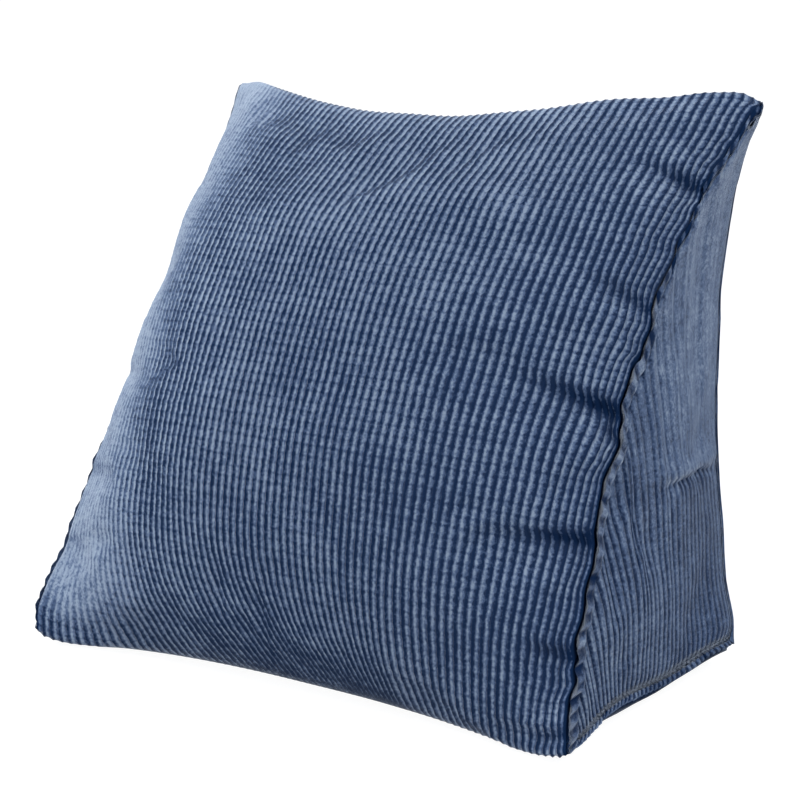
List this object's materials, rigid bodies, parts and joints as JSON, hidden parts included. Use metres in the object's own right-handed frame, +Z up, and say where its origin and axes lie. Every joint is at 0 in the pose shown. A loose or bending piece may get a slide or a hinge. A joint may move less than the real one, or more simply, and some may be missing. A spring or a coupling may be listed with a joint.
{
  "type": "triangle back cushion",
  "caption": "Filled wedge-shaped back cushion in a ribbed fabric cover, with a crowned front to lean on, seamed triangular sides and a flat base.",
  "frame": {"origin": "on the surface that the cushion stands on, below the middle of its base", "axes": "+X along the cushion, to the right seen from the front; -Y towards the person who leans on the sloping front; +Z up"},
  "size_m": [0.5532, 0.3323, 0.4917],
  "materials": {
    "cover": "greyish blue ribbed velvet with nicked ribs, dark furrows and a pale sheen at grazing angles"
  },
  "bodies": {
    "root": {"cushion": "cover"}
  },
  "joints": []
}
